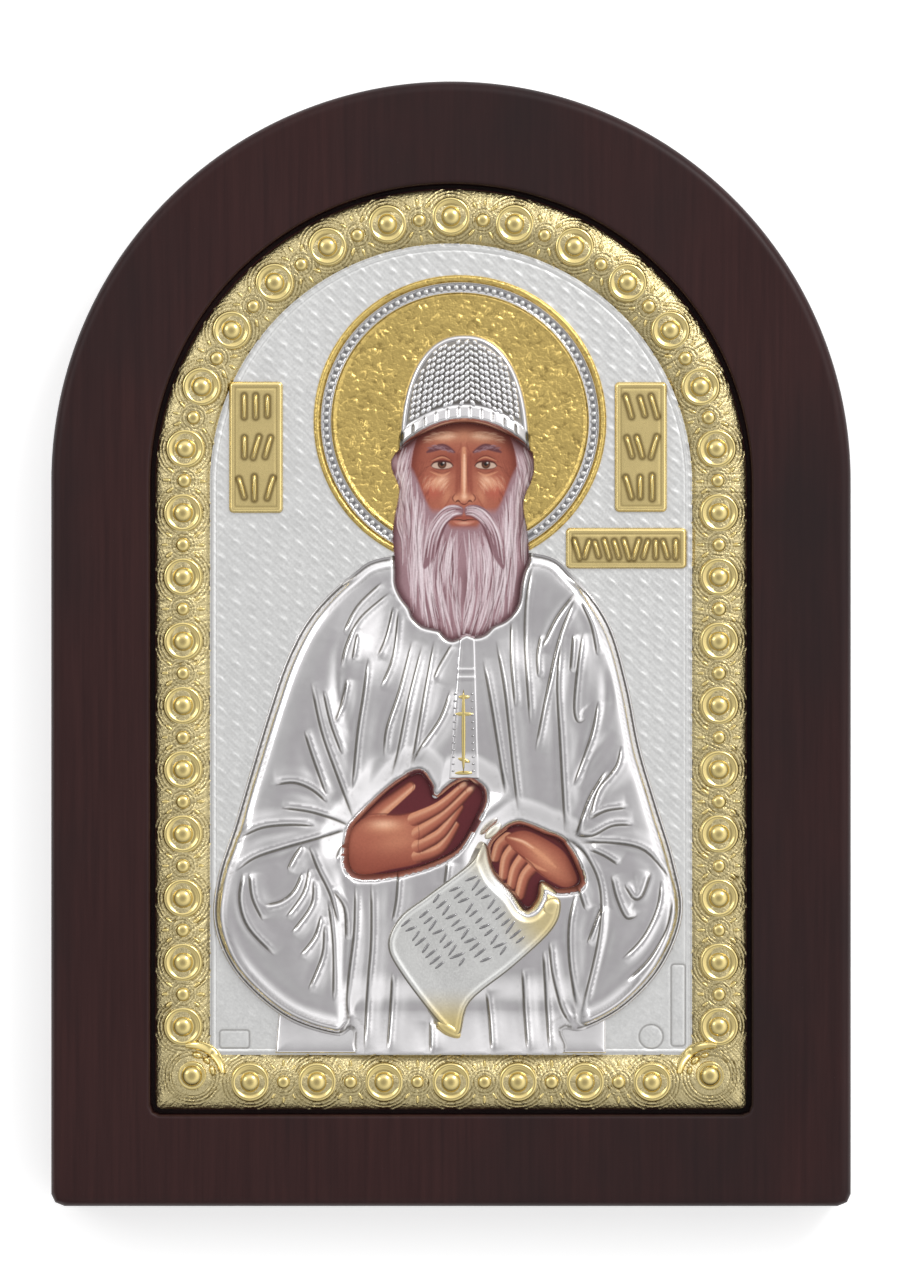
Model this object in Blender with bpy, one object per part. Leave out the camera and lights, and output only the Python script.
"""An arched icon panel: a wooden board with a pocket in its front, a painted panel that lies in
the pocket, and a stamped silver cover over it, whose windows show a painted head and two hands.

Metres, +Z up. The board lies on its back, with its back at z = 0 and its front facing up. The
top of the arch points to +Y, and the origin is under the middle of the board.
"""

import math

import bmesh
import bpy
import numpy as np
from mathutils import Vector
from mathutils.geometry import delaunay_2d_cdt

MM = 0.001

# Wooden board
board_width = 150.0 * MM
board_height = 211.0 * MM
board_thickness = 18.0 * MM
board_foot_radius = 2.5 * MM
board_front_round = 2.0 * MM
board_back_round = 0.8 * MM

# Pocket in the front of the board
side_rail = 18.6 * MM
top_rail = 19.2 * MM
bottom_rail = 17.2 * MM
pocket_depth = 5.0 * MM
pocket_foot_radius = 1.8 * MM
pocket_lip_round = 0.7 * MM

# Painted panel
rest_gap = 0.3 * MM
panel_side_gap = 0.8 * MM
panel_thickness = 1.0 * MM
panel_foot_radius = 1.2 * MM

# Silver cover: its plain field and its gilt border
cover_side_gap = 1.0 * MM
cover_foot_radius = 1.5 * MM
field_thickness = 1.0 * MM
window_lip = 0.6 * MM
border_width = 10.3 * MM
border_edge = 0.5 * MM
border_rise = 1.9 * MM

# Bosses along the border
boss_pitch = 12.0 * MM
boss_radius = 1.8 * MM
boss_rise = 0.9 * MM
boss_ring_radius = 2.9 * MM
boss_ring_width = 1.8 * MM
boss_ring_rise = 0.5 * MM
corner_boss_gap = 10.4 * MM
small_boss_radius = 1.2 * MM
small_boss_rise = 0.6 * MM

# Halo behind the head
halo_radius = 27.5 * MM
halo_rim_width = 3.9 * MM
halo_rim_rise = 0.9 * MM
halo_disc_rise = 0.35 * MM

# Name plates
plate_width = 10.0 * MM
plate_height = 24.6 * MM
plate_rise = 0.9 * MM
plate_radius = 0.9 * MM
plate_edge_gap = 3.7 * MM
plate_above_spring = 7.0 * MM
low_plate_width = 22.7 * MM
low_plate_height = 7.7 * MM
low_plate_edge_gap = 0.8 * MM
low_plate_below_spring = 12.0 * MM

# Figure: its size in the field, and how far it stands up from it
figure_side_gap = 0.9 * MM
figure_top_gap = 16.8 * MM
mantle_rise = 2.6 * MM
mantle_round = 6.0 * MM
fold_rise = 0.75 * MM
fold_width = 2.6 * MM
cap_rise = 3.4 * MM
brim_rise = 0.5 * MM
scroll_rise = 0.7 * MM
lip_slope = 1.7 * MM

# The figure's drawing: a grid of whole units with its origin at the middle of the hem
drawing_width = 470.0
drawing_height = 722.0
head_axis = 13.5
halo_middle = (9.0, 634.0)
cap_half_width = 66.0
cap_foot = 603.0
brim_bow = 30.0
brim_depth = 20.0
superellipse_power = 2.3
beard_half_width = 69.0
beard_middle = 505.0
beard_drop = 86.0

mantle_left = [(-58, 499), (-101, 479), (-139, 442), (-163, 400), (-182, 347), (-200, 288),
               (-218, 227), (-234, 177), (-235, 129), (-215, 80), (-167, 37), (-116, 20), (-91, 32)]
mantle_hem = [(-56, 43), (29, 45), (97, 51), (117, 30)]
mantle_right = [(133, 26), (174, 47), (212, 88), (232, 141), (224, 193), (207, 249), (190, 307),
                (177, 372), (158, 433), (123, 478), (84, 501)]
under_robe = [(-172, 60), (-175, 1), (154, 1), (155, 60)]

open_hand = [(-100, 186), (-101, 221), (-85, 242), (-59, 266), (-33, 281), (-22, 270), (-16, 256),
             (4, 270), (17, 274), (32, 261), (23, 235), (4, 206), (-31, 189), (-79, 180)]
holding_hand = [(40, 207), (54, 223), (70, 229), (94, 220), (111, 212), (124, 189), (128, 171),
                (109, 166), (90, 174), (86, 157), (76, 147), (63, 164), (45, 183)]
scroll_sheet = [(34, 212), (19, 192), (-23, 160), (-51, 138), (-63, 111), (-51, 83), (-11, 31),
                (8, 20), (19, 53), (63, 89), (101, 125), (110, 150), (102, 167), (88, 172),
                (76, 145), (62, 162), (44, 183)]

# Fans of folds: first and last start, first and last end, sideways bow, and how many
fold_fans = [
    ((-20, 412), (-53, 445), (-38, 290), (-78, 344), -5, 3),
    ((32, 395), (80, 470), (54, 255), (86, 290), 5, 4),
    ((126, 461), (134, 421), (86, 310), (135, 336), -6, 2),
    ((111, 400), (111, 400), (114, 224), (114, 224), 5, 1),
    ((-145, 373), (-85, 398), (-104, 246), (-97, 275), 5, 3),
    ((-61, 470), (-75, 474), (-98, 402), (-116, 412), 6, 2),
    ((133, 452), (133, 452), (148, 395), (148, 395), -5, 1),
    ((-112, 254), (-112, 222), (-176, 272), (-214, 186), 5, 4),
    ((-152, 178), (-118, 176), (-190, 142), (-118, 62), -9, 4),
    ((-212, 178), (-212, 178), (-176, 96), (-176, 96), 14, 1),
    ((142, 222), (142, 196), (182, 252), (218, 184), -5, 3),
    ((155, 290), (176, 300), (126, 236), (150, 240), 5, 2),
    ((220, 160), (202, 168), (178, 72), (162, 92), -14, 2),
    ((160, 178), (160, 178), (168, 132), (168, 132), 10, 1),
    ((-96, 171), (-76, 168), (-104, 44), (-82, 40), 4, 2),
    ((106, 108), (128, 150), (112, 46), (132, 48), 4, 2),
    ((-90, 24), (86, 24), (-94, 4), (82, 4), 0, 5),
]

# Facets of the cover's front, and of the rings that bound each piece
arch_steps = 40
foot_steps = 4
round_steps = 3
edge_facet = 3.2 * MM
window_facet = 2.3 * MM
line_facet = 2.6 * MM
open_facet = 5.2 * MM
boss_sides = 8
border_clearance = 0.55 * MM
figure_clearance = 1.15 * MM
open_clearance = 3.2 * MM
loop_clearance = 0.4 * MM
weld_distance = 0.05 * MM

# Derived heights
panel_floor = board_thickness - pocket_depth + rest_gap
cover_floor = panel_floor + panel_thickness + rest_gap
field_top = cover_floor + field_thickness


def arch_sizes(side, top, bottom, corner):
    """The half width, foot, spring line and corner of an arch set in from the board's edges."""
    half_width = board_width / 2 - side
    foot = -board_height / 2 + bottom
    spring = board_height / 2 - top - half_width
    return half_width, foot, spring, corner


def inset(arch, amount):
    """The same arch drawn smaller by an even margin."""
    half_width, foot, spring, corner = arch
    return half_width - amount, foot + amount, spring, max(corner - amount, 0.1 * MM)


board_arch = arch_sizes(0.0, 0.0, 0.0, board_foot_radius)
pocket_arch = arch_sizes(side_rail, top_rail, bottom_rail, pocket_foot_radius)
pocket_half_width, pocket_foot, spring_line, _ = pocket_arch
panel_arch = (pocket_half_width - panel_side_gap, pocket_foot + panel_side_gap, spring_line,
              panel_foot_radius)
cover_arch = (pocket_half_width - cover_side_gap, pocket_foot + cover_side_gap, spring_line,
              cover_foot_radius)
field_arch = inset(cover_arch, border_width)
boss_arch = inset(cover_arch, border_width / 2)

field_half_width, field_foot, _, _ = field_arch
figure_width = 2 * (field_half_width - figure_side_gap)
figure_height = spring_line + field_half_width - figure_top_gap - field_foot


def place(points):
    """Points of the figure's drawing, as metres on the cover."""
    grid = np.atleast_2d(np.array(points, dtype=float))
    across = grid[:, 0] * figure_width / drawing_width
    up = field_foot + grid[:, 1] * figure_height / drawing_height
    return np.column_stack([across, up])


def arch_ring(arch):
    """An arch's outline: two rounded foot corners and a half circle, with a fixed point count."""
    half_width, foot, spring, corner = arch
    points = []
    for side, start in ((-1, math.pi), (1, 1.5 * math.pi)):
        middle = (side * (half_width - corner), foot + corner)
        for step in range(foot_steps + 1):
            angle = start + 0.5 * math.pi * step / foot_steps
            points.append((middle[0] + corner * math.cos(angle),
                           middle[1] + corner * math.sin(angle)))
    for step in range(arch_steps + 1):
        angle = math.pi * step / arch_steps
        points.append((half_width * math.cos(angle), spring + half_width * math.sin(angle)))
    return np.array(points)


def spread(line, spacing, closed=False):
    """Points at an even spacing along a line."""
    path = np.vstack([line, line[:1]]) if closed else np.asarray(line)
    lengths = np.hypot(*np.diff(path, axis=0).T)
    travel = np.concatenate([[0.0], np.cumsum(lengths)])
    count = max(2, int(round(travel[-1] / spacing)))
    stops = np.linspace(0.0, travel[-1], count + 1)
    if closed:
        stops = stops[:-1]
    return np.column_stack([np.interp(stops, travel, path[:, axis]) for axis in (0, 1)])


def smooth_line(points, closed=False, steps=8):
    """A smooth curve through a few points."""
    knots = np.asarray(points, dtype=float)
    count = len(knots)
    if closed:
        before, after, beyond = (np.roll(knots, shift, axis=0) for shift in (1, -1, -2))
    else:
        before = np.vstack([knots[:1], knots[:-1]])
        after = np.vstack([knots[1:], knots[-1:]])
        beyond = np.vstack([knots[2:], knots[-1:], knots[-1:]])
    curve = []
    for index in range(count if closed else count - 1):
        for step in range(steps):
            t = step / steps
            curve.append(0.5 * (2 * knots[index] + (after[index] - before[index]) * t
                                + (2 * before[index] - 5 * knots[index] + 4 * after[index]
                                   - beyond[index]) * t * t
                                + (3 * knots[index] - before[index] - 3 * after[index]
                                   + beyond[index]) * t ** 3))
    if not closed:
        curve.append(knots[-1])
    return np.array(curve)


def superellipse(middle, half_width, rise, turns):
    """Part of a squarish ellipse, at the given angles."""
    power = 2.0 / superellipse_power
    across = np.sign(np.cos(turns)) * np.abs(np.cos(turns)) ** power
    up = np.sign(np.sin(turns)) * np.abs(np.sin(turns)) ** power
    return np.column_stack([middle[0] + half_width * across, middle[1] + rise * up])


def brim_line(lift):
    """The bowed edge of the cap's brim, from left to right, in drawing units."""
    share = np.linspace(-1.0, 1.0, 13)
    return np.column_stack([head_axis + beard_half_width * share,
                            cap_foot + lift + brim_bow * (1.0 - share ** 2)])


def cap_outline():
    """The cap: its crown over the head and the bowed lower edge of its brim."""
    crown = superellipse((head_axis, cap_foot), cap_half_width, drawing_height - cap_foot,
                         np.linspace(0.0, math.pi, 25))
    return place(np.vstack([crown, brim_line(0.0)[1:-1]]))


def head_window():
    """The opening for the head: the brim above, straight temples and the rounded beard below."""
    beard = superellipse((head_axis, beard_middle), beard_half_width, beard_drop,
                         np.linspace(math.pi, 2 * math.pi, 21))
    return place(np.vstack([brim_line(0.0)[::-1], beard]))


def fold_lines():
    """Every fold of the robes, as a bowed line on the cover."""
    lines = []
    for start_a, start_b, end_a, end_b, bow, count in fold_fans:
        for index in range(count):
            share = index / (count - 1) if count > 1 else 0.0
            start = np.array(start_a) * (1 - share) + np.array(start_b) * share
            end = np.array(end_a) * (1 - share) + np.array(end_b) * share
            run = end - start
            side = np.array([-run[1], run[0]]) / math.hypot(*run)
            middle = (start + end) / 2 + bow * side
            lines.append(smooth_line(place([start, middle, end])))
    return lines


def rounded_rectangle(middle, width, height, radius):
    """The outline of a plate with round corners."""
    points = []
    for turn, (side, up) in enumerate(((1, 1), (-1, 1), (-1, -1), (1, -1))):
        for step in range(3):
            angle = 0.5 * math.pi * (turn + step / 2)
            points.append((middle[0] + side * (width / 2 - radius) + radius * math.cos(angle),
                           middle[1] + up * (height / 2 - radius) + radius * math.sin(angle)))
    return np.array(points)


def name_plates():
    """The middle, width and height of the three name plates."""
    outer = field_half_width - plate_edge_gap - plate_width / 2
    high = spring_line + plate_above_spring
    low = spring_line - low_plate_below_spring
    low_middle = field_half_width - low_plate_edge_gap - low_plate_width / 2
    return [((-outer, high), plate_width, plate_height),
            ((outer, high), plate_width, plate_height),
            ((low_middle, low), low_plate_width, low_plate_height)]


def boss_line():
    """The line that the bosses sit on: up the left side, over the arch and down the right."""
    half_width, foot, spring, _ = boss_arch
    arc = [(-half_width * math.cos(math.pi * step / arch_steps),
            spring + half_width * math.sin(math.pi * step / arch_steps))
           for step in range(arch_steps + 1)]
    low = foot + corner_boss_gap
    return np.array([(-half_width, low)] + arc + [(half_width, low)])


def boss_places():
    """The middles of the large bosses and of the small ones between them."""
    half_width, foot, _, _ = boss_arch
    round_the_arch = spread(boss_line(), boss_pitch)
    row_length = 2 * half_width
    row = np.linspace(-half_width, half_width, max(3, round(row_length / boss_pitch) + 1))
    along_the_foot = np.column_stack([row, np.full(len(row), foot)])
    large = np.vstack([round_the_arch, along_the_foot])
    small = np.vstack([(line[1:] + line[:-1]) / 2 for line in (round_the_arch, along_the_foot)])
    return large, small


def distance_to(points, line, closed=True):
    """How far each point is from a line."""
    starts = np.asarray(line)
    ends = np.roll(starts, -1, axis=0)
    if not closed:
        starts, ends = starts[:-1], ends[:-1]
    nearest = np.full(len(points), np.inf)
    for start, end in zip(starts, ends):
        run = end - start
        share = np.clip(((points - start) @ run) / max(run @ run, 1e-18), 0.0, 1.0)
        gap = points - start - share[:, None] * run
        nearest = np.minimum(nearest, np.hypot(gap[:, 0], gap[:, 1]))
    return nearest


def is_inside(points, loop):
    """Whether each point lies inside a closed outline."""
    inside = np.zeros(len(points), dtype=bool)
    x, y = points[:, 0], points[:, 1]
    for (ax, ay), (bx, by) in zip(loop, np.roll(loop, -1, axis=0)):
        crosses = (ay > y) != (by > y)
        rise = by - ay if by != ay else 1.0
        inside ^= crosses & (x < (bx - ax) * (y - ay) / rise + ax)
    return inside


def depth_in(points, loop):
    """How far each point lies inside an outline, and below zero outside it."""
    return distance_to(points, loop) * np.where(is_inside(points, loop), 1.0, -1.0)


def arch_depth(points, arch):
    """How far each point lies inside an arch."""
    half_width, foot, spring, _ = arch
    x, y = points[:, 0], points[:, 1]
    straight = np.minimum(half_width - np.abs(x), y - foot)
    curved = half_width - np.hypot(x, y - spring)
    return np.where(y > spring, curved, straight)


def rounded(depth, reach):
    """A quarter-round rise: 0 at an edge and 1 from reach inwards."""
    share = np.clip(depth / reach, 0.0, 1.0)
    return np.sqrt(1.0 - (1.0 - share) ** 2)


def eased(depth, reach):
    """A gentle rise: 0 at an edge and 1 from reach inwards."""
    share = np.clip(depth / reach, 0.0, 1.0)
    return share * share * (3.0 - 2.0 * share)


class Figure:
    """The outlines of the figure on the cover, worked out once."""

    def __init__(self):
        self.mantle = smooth_line(place(mantle_left + mantle_hem + mantle_right), closed=True)
        self.under_robe = place(under_robe)
        self.cap = cap_outline()
        self.head_window = spread(head_window(), window_facet, closed=True)
        self.open_hand = spread(smooth_line(place(open_hand), closed=True), window_facet, True)
        self.holding_hand = spread(smooth_line(place(holding_hand), closed=True), window_facet, True)
        self.scroll = smooth_line(place(scroll_sheet), closed=True, steps=4)
        self.folds = fold_lines()
        self.windows = [self.head_window, self.open_hand, self.holding_hand]
        self.halo_middle = place([halo_middle])[0]


def border_height(points):
    """The convex moulding of the border, with its bosses."""
    large, small = boss_places()
    share = np.clip(arch_depth(points, cover_arch) / border_width, 0.0, 1.0)
    height = border_edge * (1.0 - share) + border_rise * np.sin(math.pi * share) ** 0.7
    for middle in large:
        away = np.hypot(*(points - middle).T)
        height += boss_rise * np.sqrt(np.clip(1.0 - (away / boss_radius) ** 2, 0.0, 1.0))
        ring = (away - boss_ring_radius) / (boss_ring_width / 2)
        height += boss_ring_rise * np.sqrt(np.clip(1.0 - ring ** 2, 0.0, 1.0))
    for middle in small:
        away = np.hypot(*(points - middle).T)
        height += small_boss_rise * np.sqrt(np.clip(1.0 - (away / small_boss_radius) ** 2, 0.0, 1.0))
    return height


def field_height(points, figure):
    """The field with the halo and the name plates raised on it."""
    away = np.hypot(*(points - figure.halo_middle).T)
    rim_middle = halo_radius - halo_rim_width / 2
    rim = np.sqrt(np.clip(1.0 - ((away - rim_middle) / (halo_rim_width / 2)) ** 2, 0.0, 1.0))
    height = np.maximum(halo_rim_rise * rim, np.where(away < rim_middle, halo_disc_rise, 0.0))
    for middle, width, tall in name_plates():
        plate = depth_in(points, rounded_rectangle(middle, width, tall, plate_radius))
        height = np.maximum(height, plate_rise * rounded(plate, plate_radius))
    return height


def robe_height(points, figure):
    """The mantle and under-robe, with their folds and the scroll held in front."""
    mantle = depth_in(points, figure.mantle)
    skirt = depth_in(points, figure.under_robe)
    height = mantle_rise * np.maximum(rounded(mantle, mantle_round),
                                      0.6 * rounded(skirt, mantle_round / 2))
    on_robe = np.maximum(eased(mantle, lip_slope), eased(skirt, lip_slope))
    folds = np.zeros(len(points))
    for line in figure.folds:
        share = np.clip(distance_to(points, line, closed=False) / (fold_width / 2), 0.0, 1.0)
        folds = np.maximum(folds, 1.0 - share * share)
    height += fold_rise * folds * on_robe
    sheet = depth_in(points, figure.scroll)
    lifted = np.maximum(mantle_rise, height * (1.0 - eased(sheet, lip_slope)) + mantle_rise
                        * eased(sheet, lip_slope)) + scroll_rise
    return np.where(sheet > 0.0, height + (lifted - height) * eased(sheet, lip_slope / 2), height)


def cap_height(points, figure):
    """The knitted cap, with its smooth brim."""
    inside = depth_in(points, figure.cap)
    half = cap_half_width * figure_width / drawing_width
    swell = cap_rise * rounded(inside, 0.6 * half)
    brim = place(np.vstack([brim_line(0.0), brim_line(brim_depth)[::-1]]))
    band = depth_in(points, brim)
    return np.where(inside > 0.0, swell + brim_rise * rounded(band, lip_slope / 2), 0.0)


def cover_top(points, figure):
    """The height of the cover's front at each point."""
    in_field = arch_depth(points, field_arch) > 0.0
    body = np.maximum(robe_height(points, figure), cap_height(points, figure))
    relief = np.where(in_field, np.maximum(field_height(points, figure), body),
                      border_height(points))
    full = field_top + relief
    lip = cover_floor + window_lip
    for window in figure.windows:
        away = distance_to(points, window)
        full = lip + (full - lip) * rounded(away, lip_slope)
    return full


def offset_line(line, amount, closed=True):
    """A line moved sideways: to its left where the amount is above zero."""
    ahead = np.roll(line, -1, axis=0) - np.roll(line, 1, axis=0)
    if not closed:
        ahead[0] = line[1] - line[0]
        ahead[-1] = line[-1] - line[-2]
    length = np.maximum(np.hypot(ahead[:, 0], ahead[:, 1]), 1e-12)
    side = np.column_stack([-ahead[:, 1], ahead[:, 0]]) / length[:, None]
    return line + amount * side


def around(middle, radius, sides, turn=0.0):
    """Points on a circle."""
    angles = 2 * math.pi * (np.arange(sides) + turn) / sides
    return np.column_stack([middle[0] + radius * np.cos(angles),
                            middle[1] + radius * np.sin(angles)])


def border_points():
    """Where the border's front needs points: its bosses, its foot lines and its shoulders."""
    large, small = boss_places()
    groups = []
    ring_outer = boss_ring_radius + boss_ring_width / 2
    groove = (boss_radius + boss_ring_radius - boss_ring_width / 2) / 2
    for middle in large:
        groups.append(np.array([middle]))
        groups.append(around(middle, groove, boss_sides))
        groups.append(around(middle, boss_ring_radius, boss_sides))
        groups.append(around(middle, ring_outer, boss_sides, 0.5))
    for middle in small:
        groups.append(np.array([middle]))
        groups.append(around(middle, small_boss_radius, 5))
    for share in (0.14, 0.86, 0.99, 1.02):
        ring = arch_ring(inset(cover_arch, share * border_width))
        groups.append(spread(ring, edge_facet, closed=True))
    return groups


def plate_points():
    """Where the name plates need points: their foot lines and their tops' edges."""
    groups = []
    for middle, width, tall in name_plates():
        for margin in (0.0, plate_radius):
            edge = rounded_rectangle(middle, width - 2 * margin, tall - 2 * margin,
                                     plate_radius - 0.8 * margin)
            groups.append(spread(edge, line_facet, closed=True))
    return groups


def figure_points(figure):
    """Where the field and the figure need points: along every edge, crest and foot."""
    groups = []
    rim = halo_radius - halo_rim_width / 2
    for radius in (rim, halo_radius, halo_radius - halo_rim_width):
        groups.append(around(figure.halo_middle, radius, int(2 * math.pi * radius / line_facet)))
    for line in figure.folds:
        groups.append(spread(line, line_facet))
    for outline, turn in ((figure.scroll, 1), (figure.cap, 1), (figure.mantle, 1)):
        for amount in (0.0, lip_slope):
            edge = offset_line(spread(outline, line_facet, closed=True), turn * amount)
            groups.append(edge)
    groups.append(spread(place(brim_line(brim_depth)), line_facet))
    groups.append(spread(figure.under_robe, line_facet, closed=True))
    for window in figure.windows:
        groups.append(offset_line(window, lip_slope))
        groups.append(offset_line(window, -lip_slope))
    for line in figure.folds:
        for amount in (-fold_width / 2, fold_width / 2):
            groups.append(offset_line(spread(line, line_facet), amount, closed=False))
    return groups


def open_points():
    """An even net of points over the whole cover, for the stretches without an edge."""
    half_width, foot, spring, _ = cover_arch
    rows = np.arange(foot, spring + half_width, open_facet * math.sqrt(3) / 2)
    columns = np.arange(-half_width, half_width, open_facet)
    return [np.column_stack([columns + (open_facet / 2 if row % 2 else 0.0),
                             np.full(len(columns), height)]) for row, height in enumerate(rows)]


def thin_out(loops, groups):
    """The loops' points, then each further point that isn't too near one already taken."""
    taken = np.vstack(loops)
    windows = loops[1:]
    for group, clearance in groups:
        for point in group:
            if np.min(np.hypot(*(taken - point).T)) > clearance:
                taken = np.vstack([taken, point])
    free = taken[len(np.vstack(loops)):]
    keep = arch_depth(free, cover_arch) > loop_clearance
    for window in windows:
        keep &= ~is_inside(free, window)
    return free[keep]


def cover_samples(figure, outline):
    """Every point of the cover's front: its bounding loops first."""
    loops = [outline] + figure.windows
    groups = [(group, border_clearance) for group in border_points() + plate_points()]
    groups += [(group, figure_clearance) for group in figure_points(figure)]
    groups += [(group, open_clearance) for group in open_points()]
    return loops, thin_out(loops, groups)


def triangles_between(loops, free):
    """A net of triangles over the area inside the first loop and outside the others."""
    points = np.vstack(loops + ([free] if len(free) else []))
    edges = []
    start = 0
    for loop in loops:
        count = len(loop)
        edges += [(start + index, start + (index + 1) % count) for index in range(count)]
        start += count
    vectors = [Vector(point) for point in (points / MM).tolist()]
    net = delaunay_2d_cdt(vectors, edges, [], 0, 1e-6, True)
    corners = np.array([tuple(vector) for vector in net[0]]) * MM
    faces = np.array([face for face in net[2]])
    middles = corners[faces].mean(axis=1)
    keep = is_inside(middles, loops[0])
    for window in loops[1:]:
        keep &= ~is_inside(middles, window)
    return corners, faces[keep]


def add_net(mesh, corners, faces, heights):
    """Put a net of triangles into a mesh at the given heights."""
    used = np.unique(faces)
    verts = {index: mesh.verts.new((corners[index, 0], corners[index, 1], heights[index]))
             for index in used}
    for face in faces:
        mesh.faces.new([verts[index] for index in face])


def finish_object(name, mesh, material, angle):
    """Close up a mesh, point its faces outwards and put it in the scene."""
    bmesh.ops.remove_doubles(mesh, verts=mesh.verts, dist=weld_distance)
    bmesh.ops.recalc_face_normals(mesh, faces=mesh.faces)
    data = bpy.data.meshes.new(name)
    mesh.to_mesh(data)
    mesh.free()
    data.shade_smooth()
    data.set_sharp_from_angle(angle=math.radians(angle))
    data.materials.append(material)
    part = bpy.data.objects.new(name, data)
    bpy.context.collection.objects.link(part)
    return part


def plain_material(name, colour, roughness, metallic):
    """A material with one colour and finish."""
    material = bpy.data.materials.new(name)
    material.use_nodes = True
    shader = material.node_tree.nodes["Principled BSDF"]
    shader.inputs["Base Color"].default_value = (*colour, 1.0)
    shader.inputs["Roughness"].default_value = roughness
    shader.inputs["Metallic"].default_value = metallic
    return material


def loft(rings):
    """A closed body through rings of the same point count, flat at its first and last ring."""
    mesh = bmesh.new()
    rows = [[mesh.verts.new((x, y, height)) for x, y in arch_ring(arch)] for arch, height in rings]
    for lower, upper in zip(rows, rows[1:]):
        for index in range(len(lower)):
            following = (index + 1) % len(lower)
            mesh.faces.new([lower[index], lower[following], upper[following], upper[index]])
    mesh.faces.new(rows[0][::-1])
    mesh.faces.new(rows[-1])
    return mesh


def quarter_turns():
    """Angles over a quarter of a circle, for a rounded edge."""
    return [0.5 * math.pi * step / round_steps for step in range(round_steps + 1)]


def make_board():
    """The wooden board: rounded outer edges, and the pocket with its rounded lip."""
    rings = [(inset(board_arch, board_back_round), 0.0), (board_arch, board_back_round)]
    for angle in quarter_turns():
        rings.append((inset(board_arch, board_front_round * (1 - math.cos(angle))),
                      board_thickness - board_front_round * (1 - math.sin(angle))))
    for angle in quarter_turns():
        rings.append((inset(pocket_arch, -pocket_lip_round * (1 - math.sin(angle))),
                      board_thickness - pocket_lip_round * (1 - math.cos(angle))))
    rings.append((pocket_arch, board_thickness - pocket_depth))
    wood = plain_material("dark_mahogany", (0.042, 0.019, 0.021), 0.35, 0.0)
    return finish_object("wooden_board", loft(rings), wood, 40)


def make_panel():
    """The painted panel: a thin flat sheet on the floor of the pocket."""
    rings = [(panel_arch, panel_floor), (panel_arch, panel_floor + panel_thickness)]
    paint = plain_material("painted_picture", (0.36, 0.22, 0.19), 0.5, 0.0)
    return finish_object("painted_panel", loft(rings), paint, 40)


def make_cover():
    """The silver cover: the relief above, a flat back, and walls round it and its windows."""
    figure = Figure()
    outline = spread(arch_ring(cover_arch), edge_facet, closed=True)
    loops, free = cover_samples(figure, outline)
    mesh = bmesh.new()
    corners, faces = triangles_between(loops, free)
    add_net(mesh, corners, faces, cover_top(corners, figure))
    corners, faces = triangles_between(loops, np.empty((0, 2)))
    add_net(mesh, corners, faces, np.full(len(corners), cover_floor))
    for loop in loops:
        tops = cover_top(loop, figure)
        upper = [mesh.verts.new((x, y, z)) for (x, y), z in zip(loop, tops)]
        lower = [mesh.verts.new((x, y, cover_floor)) for x, y in loop]
        for index in range(len(loop)):
            following = (index + 1) % len(loop)
            mesh.faces.new([lower[index], lower[following], upper[following], upper[index]])
    silver = plain_material("silver", (0.72, 0.71, 0.71), 0.25, 1.0)
    return finish_object("silver_cover", mesh, silver, 50)


def main():
    for thing in list(bpy.data.objects):
        bpy.data.objects.remove(thing)
    make_board()
    make_panel()
    make_cover()


main()
